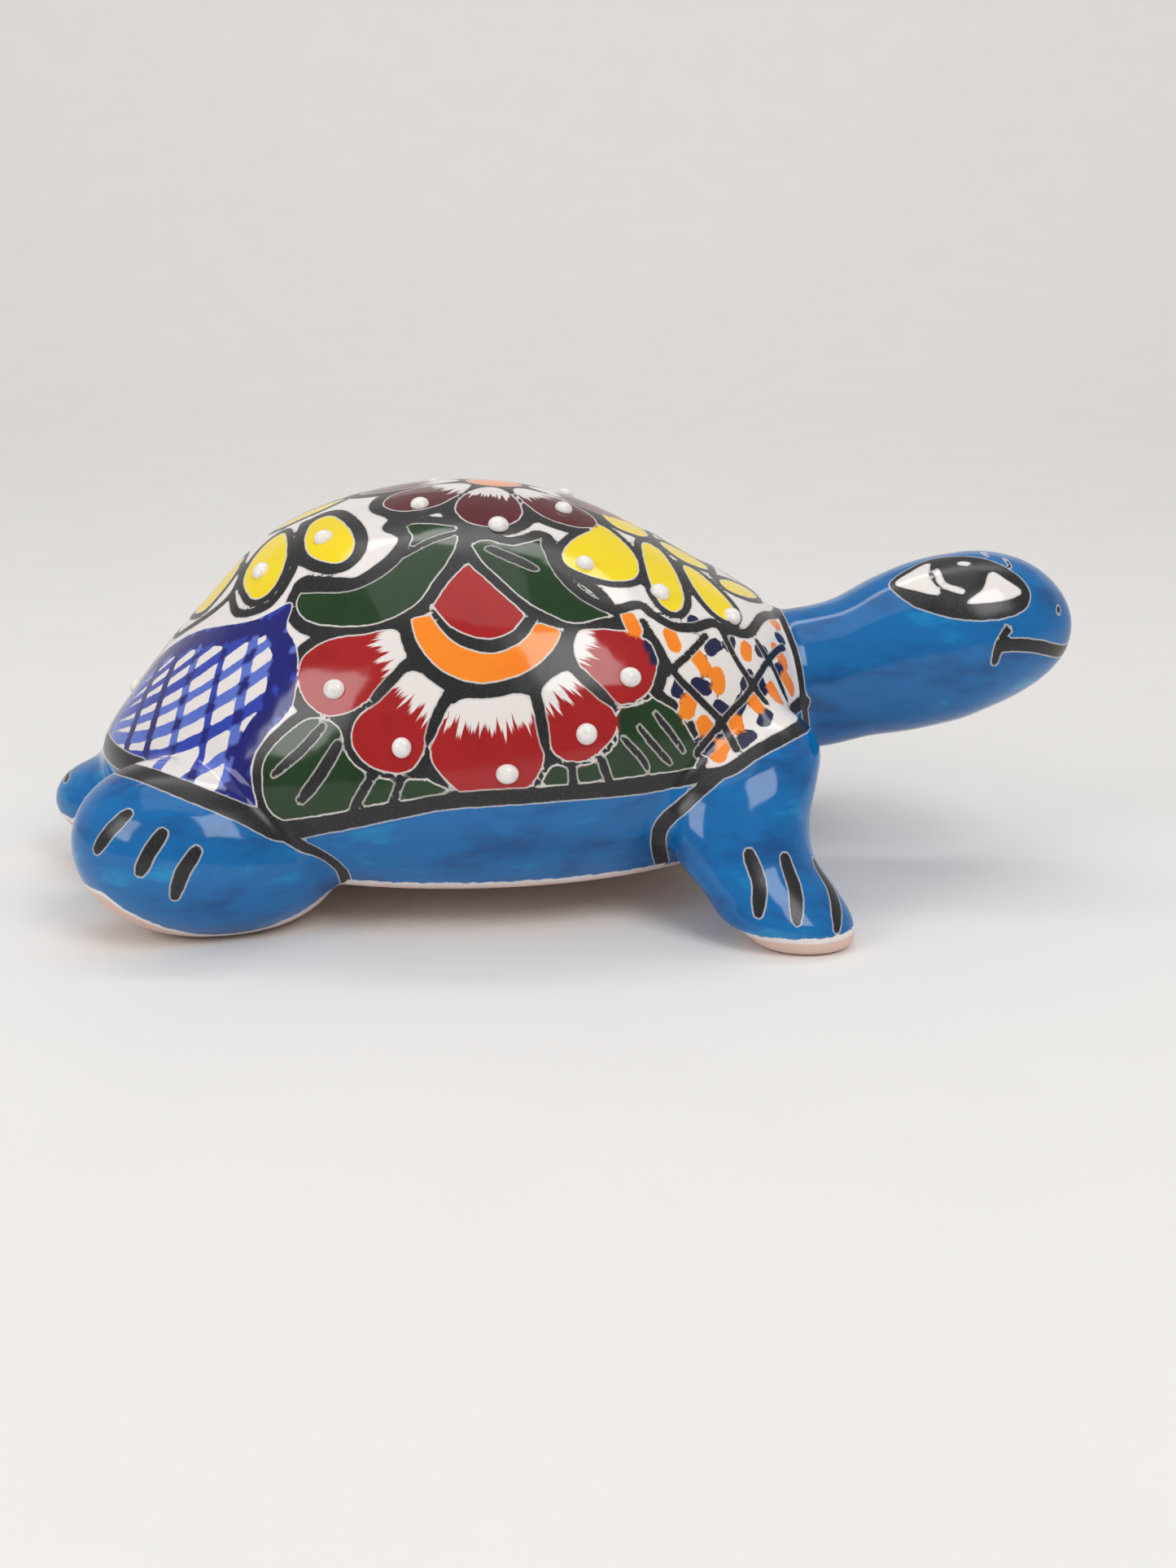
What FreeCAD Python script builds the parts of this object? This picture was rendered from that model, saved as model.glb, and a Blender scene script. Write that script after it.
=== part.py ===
"""A hollow, slip-cast, glazed ceramic turtle, made of the pieces that a potter casts and lutes together.

Frame: millimetres, +X towards the head, +Y to the turtle's left, +Z up. The origin is on the ground, in the
middle of the turtle's length and width. The right-hand pieces lie at negative Y, and the left ones mirror
them. The body is cast in two halves that meet at a level seam: the carapace above it, and the plastron below
it. Legs, tail and neck are luted to the outside of those two, and share their hollow. Drops of raised white
enamel sit on the painted petals of the carapace.
"""

import FreeCAD, Part
import os

from FreeCAD import Placement, Rotation, Vector

# Driving dimensions in millimetres and degrees. Each is a cell of the Sizes sheet, under its own name.
SIZES = {
    "wall": 4.5,
    "apex_height": 95.8,
    "apex_reach": -21.0,
    "vent_radius": 1.8,
    "vent_reach": -20.0,
    "snout_reach": 127.0,
    "snout_height": 60.0,
    "withers_reach": 46.8,
    "withers_side": 33.5,
    "withers_height": 48.0,
    # Rear leg: an egg whose rear end is lifted and turned outwards, cut flat where it stands.
    "egg_reach": -78.0,
    "egg_side": 50.0,
    "egg_height": 18.5,
    "egg_long": 30.0,
    "egg_wide": 21.0,
    "egg_tall": 20.0,
    "egg_lift": 12.0,
    "egg_splay": 10.0,
    # Tail: a small solid lobe, low at the back.
    "tail_reach": -110.5,
    "tail_side": 0.0,
    "tail_height": 16.5,
    "tail_long": 16.5,
    "tail_wide": 15.0,
    "tail_tall": 10.5,
    # Enamel drops: balls sunk a little into the glaze.
    "drop_radius": 2.6,
    "drop_sink": 1.0,
}
# Level outlines of the body, upwards from its flat belly: height, rearmost and foremost reach, half width.
BODY = {
    "keel": (10.0, -94.0, 46.0, 53.0),
    "bilge": (13.0, -100.0, 52.0, 57.8),
    "skirt": (22.0, -108.2, 59.2, 63.5),
    "seam": (34.0, -112.0, 62.0, 66.0),
    "flank": (46.0, -104.0, 61.5, 64.7),
    "waist": (58.0, -94.5, 58.0, 60.8),
    "collar": (68.0, -85.5, 49.5, 55.1),
    "brow": (78.0, -75.8, 32.0, 46.3),
    "crown": (88.0, -61.0, 12.5, 32.1),
    "cap": (93.6, -43.0, -3.0, 17.5),
    "peak": (95.4, -30.5, -13.0, 7.6),
}
# Level outlines of a front leg, downwards: height, reach, side, half length, half width.
LIMB = {
    "shoulder": (46.0, 46.7, 34.4, 8.6, 7.6),
    "hip": (41.0, 45.5, 36.6, 14.7, 13.3),
    "thigh": (33.0, 42.0, 42.0, 18.0, 15.5),
    "knee": (25.0, 41.0, 47.0, 17.0, 14.5),
    "shin": (17.0, 43.5, 52.0, 15.5, 13.0),
    "ankle": (11.0, 48.5, 57.0, 15.0, 11.5),
    "paw": (6.0, 52.0, 60.0, 14.5, 11.0),
    "toes": (2.5, 55.0, 61.0, 12.0, 9.5),
    "sole": (0.0, 56.0, 61.0, 9.5, 7.0),
}
LIMB_HOLLOW = ("hip", "thigh", "knee", "shin", "ankle", "paw")
# Upright outlines of neck and head, forwards: reach, middle height, half height, half width.
NECK = {
    "root": (40.0, 45.0, 17.0, 16.0),
    "nape": (57.0, 46.5, 17.6, 16.6),
    "throat": (68.0, 48.4, 18.2, 17.0),
    "jowl": (78.0, 52.3, 19.7, 18.0),
    "cheek": (88.0, 55.1, 21.0, 19.4),
    "temple": (98.0, 57.3, 20.9, 20.0),
    "eyes": (108.0, 59.3, 19.0, 18.7),
    "nose": (116.0, 60.1, 15.6, 15.4),
    "lips": (122.0, 60.2, 10.9, 10.8),
    "muzzle": (125.6, 60.1, 6.0, 5.9),
}
NECK_HOLLOW = ("root", "nape", "throat", "jowl", "cheek", "temple", "eyes", "nose")
# Enamel drops: reach, and the angle that the drop is round the dome from its spine, positive on the right.
FLOWER_DROPS = [(-47.0, 68.0), (-32.0, 79.5), (-9.5, 84.5), (7.5, 77.0), (17.0, 65.0)]
FAN_DROPS = [(7.0, 36.5), (24.0, 40.0), (41.0, 39.5)]
TRAIN_DROPS = [(-52.5, 27.5), (-67.5, 30.0)]
CROWN_DROPS = [(-31.0, 19.5), (-12.5, 28.0), (2.0, 14.0)]
RUMP_DROP = [(-105.0, -6.0)]

doc = FreeCAD.newDocument("turtle")
sheet = doc.addObject("Spreadsheet::Sheet", "Sizes")


def write_sizes():
    """Fills the sheet: one row for each driving dimension, the alias beside its value."""
    cells = dict(SIZES)
    tables = (
        (BODY, ("height", "rear", "front", "width")),
        (LIMB, ("height", "reach", "side", "length", "width")),
        (NECK, ("reach", "height", "tall", "wide")),
    )
    for table, words in tables:
        for name, values in table.items():
            cells.update({f"{name}_{word}": value for word, value in zip(words, values)})
    for row, (alias, value) in enumerate(cells.items(), start=1):
        sheet.set(f"A{row}", alias)
        sheet.set(f"B{row}", str(value))
        sheet.setAlias(f"B{row}", alias)
    doc.recompute()


def bind(thing, formulas):
    """Ties properties of an object to the sheet. In a formula, $word is the cell with that alias."""
    for path, formula in formulas.items():
        thing.setExpression(path, formula.replace("$", "Sizes."))
    return thing


def at(x, y, z):
    """The formulas that put an object somewhere."""
    return {"Placement.Base.x": x, "Placement.Base.y": y, "Placement.Base.z": z}


def ellipse(name, major, minor, place, turn=Rotation()):
    """A flat ellipse, its longer half axis along X before it is turned."""
    made = doc.addObject("Part::Ellipse", name)
    made.Placement = Placement(Vector(), turn)
    return bind(made, {"MajorRadius": major, "MinorRadius": minor} | place)


def vertex(name, x, y, z):
    """A point that a loft closes to."""
    return bind(doc.addObject("Part::Vertex", name), {"X": x, "Y": y, "Z": z})


def loft(name, sections):
    """A smooth solid through these outlines, in order."""
    made = doc.addObject("Part::Loft", name)
    made.Sections = sections
    made.Solid = True
    return made


def fuse(name, shapes):
    """These shapes as one object, or the only one as it is."""
    if len(shapes) == 1:
        return shapes[0]
    made = doc.addObject("Part::MultiFuse", name)
    made.Shapes = shapes
    return made


def cut(name, base, tools):
    """The base without the tools, taken away one after another."""
    for number, tool in enumerate(tools, start=1):
        made = doc.addObject("Part::Cut", name if number == len(tools) else f"{name}_cut_{number}")
        made.Base = base
        made.Tool = tool
        base = made
    return base


def mirror(name, source):
    """The same piece on the turtle's other side."""
    made = doc.addObject("Part::Mirroring", name)
    made.Source = source
    made.Normal = Vector(0, 1, 0)
    return made


def body(name, inset):
    """The whole body, drawn in all round by the inset: inwards at the seam, down or up at the two ends."""
    outlines = []
    for level, (height, *_) in BODY.items():
        end = "apex" if height > BODY["seam"][0] else "keel"
        climb = f"(${level}_height - $seam_height) / abs(${end}_height - $seam_height)"
        inwards = f"{inset} * sqrt(1 - ({climb}) ^ 2)"
        outlines.append(
            ellipse(
                f"{name}_{level}",
                f"(${level}_front - ${level}_rear) / 2 - {inwards}",
                f"${level}_width - {inwards}",
                at(f"(${level}_front + ${level}_rear) / 2", "0", f"${level}_height - {inset} * {climb}"),
            )
        )
    return loft(name, outlines + [vertex(f"{name}_apex", "$apex_reach", "0", f"$apex_height - {inset}")])


def limb(name, levels, inset):
    """The outlines of a right front leg, downwards."""
    return [
        ellipse(
            f"{name}_{level}",
            f"${level}_length - {inset}",
            f"${level}_width - {inset}",
            at(f"${level}_reach", f"-${level}_side", f"${level}_height"),
        )
        for level in levels
    ]


def neck(name, stations, inset):
    """The outlines of the neck and head, forwards."""
    upright = Rotation(Vector(0, 1, 0), -90)
    return [
        ellipse(
            f"{name}_{station}",
            f"${station}_tall - {inset}",
            f"${station}_wide - {inset}",
            at(f"${station}_reach", "0", f"${station}_height"),
            upright,
        )
        for station in stations
    ]


def lobe(name, stem, inset, turn=Rotation()):
    """An ellipsoid whose half axes and place are the cells that start with the stem."""
    made = doc.addObject("Part::Ellipsoid", name)
    made.Placement = Placement(Vector(), turn)
    sizes = {
        "Radius1": f"${stem}_tall - {inset}",
        "Radius2": f"${stem}_long - {inset}",
        "Radius3": f"${stem}_wide - {inset}",
    }
    return bind(made, sizes | at(f"${stem}_reach", f"-${stem}_side", f"${stem}_height"))


def slab(name, low, high):
    """Everything between two heights."""
    made = doc.addObject("Part::Box", name)
    sizes = {"Length": "3 * $snout_reach", "Width": "3 * $snout_reach", "Height": f"{high} - {low}"}
    return bind(made, sizes | at("-1.5 * $snout_reach", "-1.5 * $snout_reach", low))


def drops(name, shell, places):
    """Enamel drops on the outside of the shell."""
    balls = []
    for number, (reach, angle) in enumerate(places, start=1):
        heart = Vector(reach, 0, sheet.get("seam_height"))
        outwards = Rotation(Vector(1, 0, 0), angle).multVec(Vector(0, 0, 1))
        ray = Part.makeLine(heart, heart + outwards * sheet.get("snout_reach"))
        skin = max(ray.common(shell.Shape).Vertexes, key=lambda corner: corner.Point.distanceToPoint(heart))
        drop = doc.addObject("Part::Sphere", f"{name}_{number}")
        bind(drop, {"Radius": "$drop_radius"})
        drop.Placement = Placement(skin.Point - outwards * sheet.get("drop_sink"), Rotation())
        balls.append(drop)
    return cut(name, fuse(f"{name}_balls", balls), [shell])


def mirrored_places(places):
    return [(reach, -angle) for reach, angle in places]


def vent():
    """The hole in the belly that lets the hollow breathe in the kiln."""
    made = doc.addObject("Part::Cylinder", "vent")
    sizes = {"Radius": "$vent_radius", "Height": "$seam_height"}
    return bind(made, sizes | at("$vent_reach", "0", "0"))


def build():
    """Every piece, by node name."""
    solid, hollow = body("body", "0"), body("body_hollow", "$wall")
    withers = vertex("withers", "$withers_reach", "-$withers_side", "$withers_height")
    foreleg = loft("limb", [withers] + limb("limb", LIMB, "0"))
    foreleg_hollow = loft("limb_hollow", limb("limb_hollow", LIMB_HOLLOW, "$wall"))
    snout = vertex("snout", "$snout_reach", "0", "$snout_height")
    head = loft("neck", neck("neck", NECK, "0") + [snout])
    head_hollow = loft("neck_hollow", neck("neck_hollow", NECK_HOLLOW, "$wall"))
    tilt = Rotation(Vector(0, 1, 0), sheet.get("egg_lift"))
    tilt = Rotation(Vector(0, 0, 1), sheet.get("egg_splay")) * tilt
    haunch, haunch_hollow = lobe("egg", "egg", "0", tilt), lobe("egg_hollow", "egg", "$wall", tilt)
    left_hollows = [mirror("limb_hollow_left", foreleg_hollow), mirror("egg_hollow_left", haunch_hollow)]
    doc.recompute()
    walls = cut("walls", solid, [hollow, foreleg_hollow, haunch_hollow, head_hollow] + left_hollows)
    leg_front = cut("leg_front_right", foreleg, [solid, head, foreleg_hollow])
    leg_rear = cut("leg_rear_right", haunch, [slab("ground", "-$snout_reach", "0"), solid, haunch_hollow])
    return [
        cut("carapace", walls, [slab("lower_half", "0", "$seam_height")]),
        cut("plastron", walls, [slab("upper_half", "$seam_height", "$snout_reach"), vent()]),
        cut("head_neck", head, [head_hollow, solid]),
        cut("tail", lobe("tail_lobe", "tail", "0"), [solid]),
        leg_front,
        mirror("leg_front_left", leg_front),
        leg_rear,
        mirror("leg_rear_left", leg_rear),
        drops("drops_flower_right", solid, FLOWER_DROPS),
        drops("drops_flower_left", solid, mirrored_places(FLOWER_DROPS)),
        drops("drops_front_right", solid, FAN_DROPS),
        drops("drops_front_left", solid, mirrored_places(FAN_DROPS)),
        drops("drops_rear_right", solid, TRAIN_DROPS),
        drops("drops_rear_left", solid, mirrored_places(TRAIN_DROPS)),
        drops("drops_crown", solid, CROWN_DROPS + mirrored_places(CROWN_DROPS)),
        drops("drop_rump", solid, RUMP_DROP),
    ]


def check(pieces):
    """Stops if anything in the document failed, or if a piece isn't sound."""
    for thing in doc.Objects:
        if {"Invalid", "Error"} & set(thing.State):
            raise RuntimeError(f"{thing.Label} is {thing.State}")
    for piece in pieces:
        if piece.Shape.isNull() or not piece.Shape.isValid() or not piece.Shape.Solids:
            raise RuntimeError(f"{piece.Label} has no sound solid")


write_sizes()
nodes = build()
doc.recompute()
check(nodes)
os.makedirs("parts", exist_ok=True)
for node in nodes:
    node.Label = node.Name
    node.Shape.exportStep(f"parts/{node.Label}.step")
    print(f"{node.Label}: {len(node.Shape.Solids)} solids, {node.Shape.Volume / 1000:.1f} cm3")
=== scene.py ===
"""A hand-painted, glazed ceramic turtle: its skin, the brushwork on it, and a plain pale studio.

The skin is one closed surface, given by functions of place in millimetres in the frame of the CAD model: +X
towards the head, +Y to the turtle's left, the ground at zero. It is divided along the painted lines into the
pieces that the CAD model names. The brushwork is worked out at each vertex as distances, in millimetres, from
outlines and strokes, and the glaze material turns those distances into paint. Both sides are painted alike.
"""

import math

import bmesh
import bpy
import numpy as np
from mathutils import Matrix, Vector
from mathutils.kdtree import KDTree


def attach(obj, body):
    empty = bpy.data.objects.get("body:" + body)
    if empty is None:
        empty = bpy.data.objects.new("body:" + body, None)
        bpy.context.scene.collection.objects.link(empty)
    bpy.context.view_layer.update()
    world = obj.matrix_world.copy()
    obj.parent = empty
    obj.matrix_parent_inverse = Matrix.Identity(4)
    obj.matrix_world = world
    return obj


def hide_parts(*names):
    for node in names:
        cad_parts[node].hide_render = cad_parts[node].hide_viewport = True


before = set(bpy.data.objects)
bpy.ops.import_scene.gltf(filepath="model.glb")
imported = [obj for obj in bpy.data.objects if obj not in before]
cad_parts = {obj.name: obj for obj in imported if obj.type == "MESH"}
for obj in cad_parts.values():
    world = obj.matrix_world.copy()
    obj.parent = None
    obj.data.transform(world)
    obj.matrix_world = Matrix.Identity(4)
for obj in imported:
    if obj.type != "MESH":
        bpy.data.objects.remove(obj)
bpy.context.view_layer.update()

MM = 0.001
FAR = 60.0
rng = np.random.default_rng(7)

# ---------------------------------------------------------------- the shape, in millimetres

SEAM, APEX, BELLY, UNDER, GIRTH = 34.0, 95.8, 10.0, 44.0, 66.0
NET_STEP, WALL = 1.15, 2.0
# Body: height, middle, and the half length that an ellipse at full width would have there.
BODY = [
    (12, -24.0, 87.0),
    (34, -25.0, 87.0),
    (46, -21.3, 84.4),
    (58, -18.3, 82.6),
    (68, -18.0, 80.6),
    (78, -21.9, 76.7),
    (88, -24.2, 75.6),
    (96, -22.5, 75.6),
]
# Neck and head, forwards: reach, middle height, half height, half width.
NECK = [
    (40, 45.0, 17.0, 16.0),
    (57, 46.5, 17.6, 16.6),
    (68, 48.4, 18.2, 17.0),
    (78, 52.3, 19.7, 18.0),
    (88, 55.1, 21.0, 19.4),
    (98, 57.3, 20.9, 20.0),
    (108, 59.3, 20.2, 19.9),
    (116, 60.1, 19.9, 19.6),
    (127, 60.1, 19.4, 19.2),
]
FACE, FACE_LONG = 98.0, 29.0
# Front leg, upwards: height, reach, side, half length, half width.
LIMB = [
    (0, 56.0, 61.0, 11.0, 9.0),
    (2.5, 55.0, 61.0, 12.0, 9.5),
    (6, 52.0, 60.0, 14.5, 11.0),
    (11, 48.5, 57.0, 15.0, 11.5),
    (17, 43.5, 52.0, 15.5, 13.0),
    (25, 41.0, 47.0, 17.0, 14.5),
    (33, 42.0, 42.0, 18.0, 15.5),
    (42, 46.0, 36.0, 16.0, 14.5),
    (50, 47.0, 33.0, 15.0, 13.0),
]
EGG, EGG_HALF = (-78.0, 50.0, 18.5), (30.0, 21.0, 20.0)
TILT, SPLAY = math.radians(12), math.radians(10)
TAIL, TAIL_HALF = (-110.5, 0.0, 16.5), (16.5, 15.0, 10.5)


def through(stations, where):
    """The rest of each station's numbers, smoothly between stations, at these values of the first one."""
    table = np.array(stations, float)
    x, y = table[:, 0], table[:, 1:]
    slope = np.gradient(y, x, axis=0)
    i = np.clip(np.searchsorted(x, where) - 1, 0, len(x) - 2)
    step = (x[i + 1] - x[i])[..., None]
    t = np.clip((where - x[i]) / (x[i + 1] - x[i]), 0, 1)[..., None]
    value = (1 + 2 * t) * (1 - t) ** 2 * y[i] + t * (1 - t) ** 2 * step * slope[i]
    value = value + t * t * (3 - 2 * t) * y[i + 1] - t * t * (1 - t) * step * slope[i + 1]
    return np.moveaxis(value, -1, 0)


def lobe(*spans):
    """About the distance from an ellipsoid, each span an offset from its middle and a half axis."""
    near = np.sqrt(sum((offset / half) ** 2 for offset, half in spans)) + 1e-9
    steep = np.sqrt(sum((offset / half**2) ** 2 for offset, half in spans)) + 1e-9
    return (near - 1) * near / steep


def merge(a, b, blend):
    """Two shapes as one, with a fillet."""
    share = np.clip(0.5 + 0.5 * (b - a) / blend, 0, 1)
    return b + (a - b) * share - blend * share * (1 - share)


def trim(a, b, blend):
    """What two shapes share, with a rounded edge."""
    return -merge(-a, -b, blend)


def body(x, y, z):
    middle, reach = through(BODY, z)
    up = z - SEAM
    tall = np.where(up > 0, APEX - SEAM, UNDER)
    return trim(lobe((x - middle, reach), (y, GIRTH), (up, tall)), BELLY - z, 3.0)


def head(x, y, z):
    middle, tall, wide = through(NECK, x)
    skull = lobe((np.maximum(x - FACE, 0), FACE_LONG), (y, wide), (z - middle, tall))
    return np.maximum(skull, 45 - x)


def limb(x, y, z):
    reach, side, long, wide = through(LIMB, z)
    return trim(lobe((x - reach, long), (np.abs(y) - side, wide), (np.maximum(z - 36, 0), 12.0)), -z, 3.0)


def haunch(x, y, z):
    dx, dy, dz = x - EGG[0], EGG[1] - np.abs(y), z - EGG[2]
    along = dx * math.cos(SPLAY) + dy * math.sin(SPLAY)
    side = dy * math.cos(SPLAY) - dx * math.sin(SPLAY)
    fore = along * math.cos(TILT) - dz * math.sin(TILT)
    rise = dz * math.cos(TILT) + along * math.sin(TILT)
    taper = 1 - 0.1 * fore / EGG_HALF[0]
    return trim(lobe((fore, EGG_HALF[0]), (side, EGG_HALF[1] * taper), (rise, EGG_HALF[2] * taper)), -z, 2.0)


def tail(x, y, z):
    return lobe(*((value - middle, half) for value, middle, half in zip((x, y, z), TAIL, TAIL_HALF)))


def turtle(x, y, z):
    skin = merge(body(x, y, z), tail(x, y, z), 9.0)
    skin = merge(skin, haunch(x, y, z), 3.0)
    skin = merge(skin, limb(x, y, z), 5.0)
    return merge(skin, head(x, y, z), 3.5)


def gradient(points, reach=0.05):
    """How fast the skin's function grows along X, Y and Z."""
    out = np.empty_like(points)
    for axis in range(3):
        step = np.zeros(3)
        step[axis] = reach
        out[:, axis] = (turtle(*(points + step).T) - turtle(*(points - step).T)) / (2 * reach)
    return out


def settle(points, rounds=3):
    """These points moved onto the skin."""
    for _ in range(rounds):
        slope = gradient(points)
        points = points - slope * (turtle(*points.T) / (slope**2).sum(1))[:, None]
    return points


# ---------------------------------------------------------------- the skin as a mesh


def net(step):
    """A mesh of four-sided faces round the zero level of the turtle's function."""
    low, high = np.array([-130.0, -76.0, -2.0]) - step / 2, np.array([130.0, 76.0, 99.0])
    axes = [np.arange(a, b, step) for a, b in zip(low, high)]
    field = turtle(axes[0][:, None, None], axes[1][None, :, None], axes[2][None, None, :])
    cells = [len(a) - 1 for a in axes]
    total, count = np.zeros(cells + [3]), np.zeros(cells)
    for axis in range(3):
        others = [k for k in range(3) if k != axis]
        a, b = np.moveaxis(field, axis, 0)[:-1], np.moveaxis(field, axis, 0)[1:]
        a, b = np.moveaxis(a, 0, axis), np.moveaxis(b, 0, axis)
        crossing = (a < 0) != (b < 0)
        share = np.where(crossing, a / np.where(crossing, a - b, 1), 0)
        for du in (0, 1):
            for dv in (0, 1):
                window = [slice(None)] * 3
                window[others[0]] = slice(du, du + cells[others[0]])
                window[others[1]] = slice(dv, dv + cells[others[1]])
                hit = crossing[tuple(window)]
                count += hit
                total[..., axis] += np.where(hit, share[tuple(window)], 0)
                total[..., others[0]] += hit * du
                total[..., others[1]] += hit * dv
    used = count > 0
    index = -np.ones(cells, int)
    index[used] = np.arange(used.sum())
    verts = np.array([a[0] for a in axes]) + (np.argwhere(used) + total[used] / count[used][:, None]) * step
    faces = []
    for axis, (u, v) in enumerate(((1, 2), (2, 0), (0, 1))):
        one, two = [slice(1, -1)] * 3, [slice(1, -1)] * 3
        one[axis], two[axis] = slice(0, -1), slice(1, None)
        inside, beyond = field[tuple(one)] < 0, field[tuple(two)] < 0
        where = np.argwhere(inside != beyond)
        base = where.copy()
        base[:, [u, v]] += 1
        corners = []
        for du, dv in ((0, 0), (1, 0), (1, 1), (0, 1)):
            corner = base.copy()
            corner[:, u] -= du
            corner[:, v] -= dv
            corners.append(index[tuple(corner.T)])
        quad = np.array(corners).T
        turned = ~inside[tuple(where.T)]
        quad[turned] = quad[turned][:, ::-1]
        faces.append(quad)
    return verts, np.concatenate(faces)


def relax(verts, faces, rounds):
    """Evens out the mesh: each vertex goes towards the middle of its neighbours, then back onto the skin."""
    ends = np.concatenate([faces[:, [k, (k + 1) % 4]] for k in range(4)])
    for _ in range(rounds):
        total, count = np.zeros_like(verts), np.zeros(len(verts))
        for a, b in ((0, 1), (1, 0)):
            np.add.at(total, ends[:, a], verts[ends[:, b]])
            np.add.at(count, ends[:, a], 1)
        verts = settle(verts + 0.5 * (total / count[:, None] - verts), 2)
    return verts


def split(verts, tris, side):
    """The mesh cut where a number at each vertex is zero: first where it is negative, then the rest."""
    below = side < 0
    edges = np.sort(np.concatenate([tris[:, [0, 1]], tris[:, [1, 2]], tris[:, [2, 0]]]), axis=1)
    crossed = below[edges[:, 0]] != below[edges[:, 1]]
    keys, which = np.unique(edges[crossed], axis=0, return_inverse=True)
    a, b = side[keys[:, 0]], side[keys[:, 1]]
    made = verts[keys[:, 0]] + (verts[keys[:, 1]] - verts[keys[:, 0]]) * (a / (a - b))[:, None]
    middle = np.full(len(edges), -1)
    middle[crossed] = len(verts) + which.ravel()
    middle = middle.reshape(3, -1).T
    points = np.concatenate([verts, made])
    halves = []
    for wanted in (below, ~below):
        inside = wanted[tris]
        count = inside.sum(1)
        kept = [tris[count == 3]]
        for k in range(3):
            after, last = (k + 1) % 3, (k + 2) % 3
            one = (count == 1) & inside[:, k]
            kept.append(np.stack([tris[one, k], middle[one, k], middle[one, last]], 1))
            two = (count == 2) & ~inside[:, k]
            kept.append(np.stack([middle[two, k], tris[two, after], tris[two, last]], 1))
            kept.append(np.stack([middle[two, k], tris[two, last], middle[two, last]], 1))
        used, renamed = np.unique(np.concatenate(kept), return_inverse=True)
        halves.append((points[used], renamed.reshape(-1, 3)))
    return halves


# ---------------------------------------------------------------- places on the skin

# Millimetres of the way round for each radian, on the dome and on the head.
ROUND, SKULL = 64.0, 20.0


def chart(points):
    """Reach, and the way round the dome from its spine, in millimetres: where brushwork is placed."""
    return np.stack([points[:, 0], ROUND * np.arctan2(points[:, 1], points[:, 2] - SEAM)], 1)


def lift(flat, radius=ROUND, middle=None):
    """The points of the skin at these places of the chart, on the left side."""
    flat = np.asarray(flat, float)
    angle = flat[:, 1] / radius
    heart = np.full(len(flat), SEAM) if middle is None else middle(flat[:, 0])
    low, high = np.zeros(len(flat)), np.full(len(flat), 110.0)
    for _ in range(24):
        half = (low + high) / 2
        inside = turtle(flat[:, 0], half * np.sin(angle), heart + half * np.cos(angle)) < 0
        low, high = np.where(inside, half, low), np.where(inside, high, half)
    return np.stack([flat[:, 0], low * np.sin(angle), heart + low * np.cos(angle)], 1)


def lift_head(flat):
    """The same for the head, with the way round it measured from its own axis."""
    return lift(flat, SKULL, lambda reach: through(NECK, reach)[0])


def curve(points, closed=False, corners=(), steps=6):
    """A smooth line through these points, sharp at those whose numbers are given."""
    p = np.array(points, float)
    p = np.repeat(p, [2 if number in corners else 1 for number in range(len(p))], axis=0)
    ends = (p[-1:], p[:2]) if closed else (2 * p[:1] - p[1:2], 2 * p[-1:] - p[-2:-1])
    p = np.concatenate([ends[0], p, ends[1]])
    out = []
    for a, b, c, d in zip(p, p[1:], p[2:], p[3:]):
        for t in np.arange(steps) / steps:
            bend = 2 * a - 5 * b + 4 * c - d
            out.append(b + 0.5 * t * (c - a + t * (bend + t * (3 * (b - c) + d - a))))
    return np.array(out if closed else out + [p[-2]])


def distance(points, line, closed=False, reach=8.0):
    """How far each point is from a line of points, or FAR if that is out of reach."""
    out = np.full(len(points), FAR)
    near = ((points > line.min(0) - reach) & (points < line.max(0) + reach)).all(1)
    a = line if closed else line[:-1]
    b = np.roll(line, -1, 0) if closed else line[1:]
    along = b - a
    p = points[near]
    best = np.full(len(p), FAR)
    for start, way in zip(a, along):
        t = np.clip((p - start) @ way / max(way @ way, 1e-9), 0, 1)
        best = np.minimum(best, np.linalg.norm(p - start - t[:, None] * way, axis=1))
    out[near] = best
    return out


def nearest(points, cloud):
    """How far each point is from the nearest of a crowd of points."""
    tree = KDTree(len(cloud))
    for number, place in enumerate(cloud):
        tree.insert(place, number)
    tree.balance()
    return np.array([tree.find(point)[2] for point in points])


def within(flat, outline):
    """True for the places of the chart inside an outline."""
    x, g = flat.T
    out = np.zeros(len(flat), bool)
    for (x0, g0), (x1, g1) in zip(outline, np.roll(outline, -1, 0)):
        if g0 != g1:
            out ^= ((g0 > g) != (g1 > g)) & (x < (x1 - x0) * (g - g0) / (g1 - g0) + x0)
    return out


# ---------------------------------------------------------------- brushwork


def linear(red, green, blue):
    """A colour of 0 to 255 as the renderer takes it."""
    shares = (red / 255, green / 255, blue / 255)
    return tuple(((c + 0.055) / 1.055) ** 2.4 if c > 10 / 255 else c / 12.92 for c in shares)


RED, MAROON, ORANGE = linear(168, 22, 26), linear(92, 12, 26), linear(252, 140, 30)
YELLOW, GREEN = linear(250, 222, 14), linear(24, 58, 26)
NAVY, HATCH_PALE = linear(22, 27, 70), linear(92, 116, 206)
HATCH, HATCH_DARK = linear(44, 66, 176), linear(22, 24, 116)
WHITE_GLAZE, CHARCOAL, CLAY = linear(236, 230, 227), linear(26, 26, 28), linear(226, 196, 184)
ENAMEL = linear(244, 240, 238)
BLUE_DEEP, BLUE_MID, BLUE_PALE = linear(1, 80, 142), linear(1, 106, 174), linear(14, 148, 205)
# The pale gap that the brush leaves between a colour and its outline.
MARGIN, GAP = 0.3, linear(205, 199, 195)


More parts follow.
